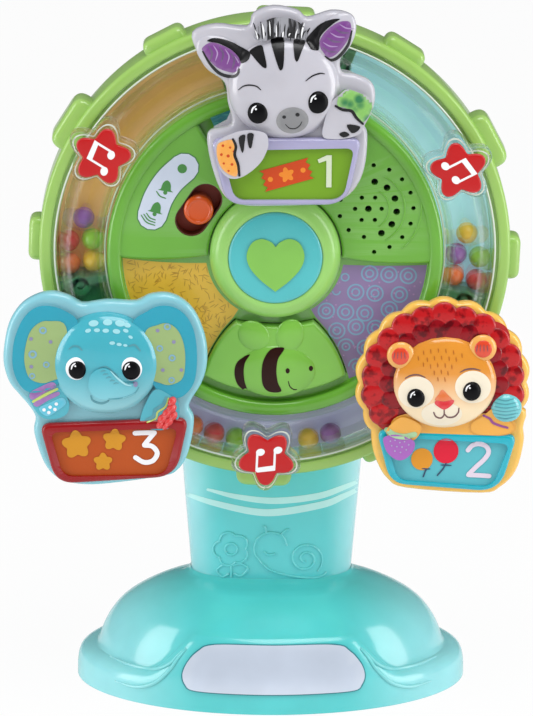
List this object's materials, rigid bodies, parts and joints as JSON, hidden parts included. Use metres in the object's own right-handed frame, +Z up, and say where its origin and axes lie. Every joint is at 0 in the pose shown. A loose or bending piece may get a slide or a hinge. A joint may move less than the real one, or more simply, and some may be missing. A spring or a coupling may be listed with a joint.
{
  "type": "musical spinning wheel toy",
  "caption": "Upright spinning wheel toy on a suction base, with three hanging animal gondolas, bead chambers, a press button and a volume slide.",
  "frame": {"origin": "middle of the suction cup's pressed face, on the table", "axes": "+Z up, -Y out of the wheel's front face, +X to the right seen from the front"},
  "size_m": [0.2219, 0.121, 0.3094],
  "materials": {
    "aqua": "glossy moulded",
    "lime": "glossy moulded",
    "silver_print": "satin printed",
    "suction_rubber": "soft, smooth",
    "clear": "clear polished plastic",
    "orange": "glossy",
    "teal": "glossy",
    "purple": "glossy",
    "red": "glossy",
    "green": "glossy",
    "dark_green": "satin",
    "yellow": "glossy",
    "white": "glossy",
    "sky_blue": "glossy",
    "amber": "glossy",
    "lavender": "glossy",
    "steel": "plated",
    "black": "satin",
    "cell": "printed sleeve",
    "board": "satin",
    "pad": "matt"
  },
  "bodies": {
    "stand": {"base_shell": "aqua", "base_cover": "aqua", "suction_cup": "suction_rubber", "base_label_plate": "silver_print", "neck_front_shell": "aqua", "neck_rear_shell": "aqua", "rear_housing": "aqua", "battery_door": "aqua", "battery_door_screw": "steel", "battery_upper": "cell", "battery_lower": "cell", "face_plate": "lime", "hub_bezel": "lime", "hub_disc": "teal", "heart_cap": "green", "volume_switch": "black", "main_board": "board", "speaker": "black", "bee_rubber_pad": "pad", "spin_sensor": "black"},
    "volume_slider": {"volume_knob": "orange"},
    "bee_press": {"bee_button": "green"},
    "wheel": {"wheel_rim": "lime", "chamber_cover": "clear", "liner_teal": "teal", "liner_orange": "orange", "liner_purple": "purple", "star_right": "red", "star_left": "red", "star_bottom": "red", "bracket_zebra": "dark_green", "bracket_elephant": "dark_green", "bracket_lion": "dark_green", "zebra_pin": "white", "elephant_pin": "white", "lion_pin": "white"},
    "beads_right": {"bead_right_orange": "orange", "bead_right_red": "red", "bead_right_purple": "purple", "bead_right_green": "green", "bead_right_yellow": "yellow"},
    "beads_left": {"bead_left_orange": "orange", "bead_left_yellow": "yellow", "bead_left_red": "red", "bead_left_green": "green", "bead_left_purple": "purple"},
    "beads_bottom": {"bead_bottom_orange": "orange", "bead_bottom_red": "red", "bead_bottom_green": "green", "bead_bottom_yellow": "yellow", "bead_bottom_purple": "purple"},
    "zebra_gondola": {"zebra_figure": "white", "zebra_basket": "lavender", "zebra_back_cover": "white"},
    "elephant_gondola": {"elephant_figure": "sky_blue", "elephant_basket": "red", "elephant_back_cover": "sky_blue"},
    "lion_gondola": {"lion_figure": "amber", "lion_basket": "sky_blue", "lion_back_cover": "amber"}
  },
  "joints": [
    {"name": "wheel_spin", "type": "hinge", "parent": "stand", "child": "wheel", "pos_m": [0, 0, 0.2015], "axis": [0, 1, 0], "continuous": true},
    {"name": "volume_slide", "type": "slide", "parent": "stand", "child": "volume_slider", "axis": [0.5592, 0, 0.829], "range_m": [-0.0054, 0.0054]},
    {"name": "bee_button_press", "type": "slide", "parent": "stand", "child": "bee_press", "axis": [0, 1, 0], "range_m": [0, 0.002], "stiffness_N_per_m": 1500},
    {"name": "beads_right_roll", "type": "hinge", "parent": "wheel", "child": "beads_right", "pos_m": [0, 0, 0.2015], "axis": [0, 1, 0], "range_deg": [-60, 0]},
    {"name": "beads_left_roll", "type": "hinge", "parent": "wheel", "child": "beads_left", "pos_m": [0, 0, 0.2015], "axis": [0, 1, 0], "range_deg": [0, 60]},
    {"name": "beads_bottom_roll", "type": "hinge", "parent": "wheel", "child": "beads_bottom", "pos_m": [0, 0, 0.2015], "axis": [0, 1, 0], "range_deg": [-19, 16.5]},
    {"name": "zebra_swing", "type": "hinge", "parent": "wheel", "child": "zebra_gondola", "pos_m": [0.00333, 0, 0.28443], "axis": [0, 1, 0], "continuous": true},
    {"name": "elephant_swing", "type": "hinge", "parent": "wheel", "child": "elephant_gondola", "pos_m": [-0.07349, 0, 0.16292], "axis": [0, 1, 0], "continuous": true},
    {"name": "lion_swing", "type": "hinge", "parent": "wheel", "child": "lion_gondola", "pos_m": [0.07016, 0, 0.15715], "axis": [0, 1, 0], "continuous": true}
  ]
}
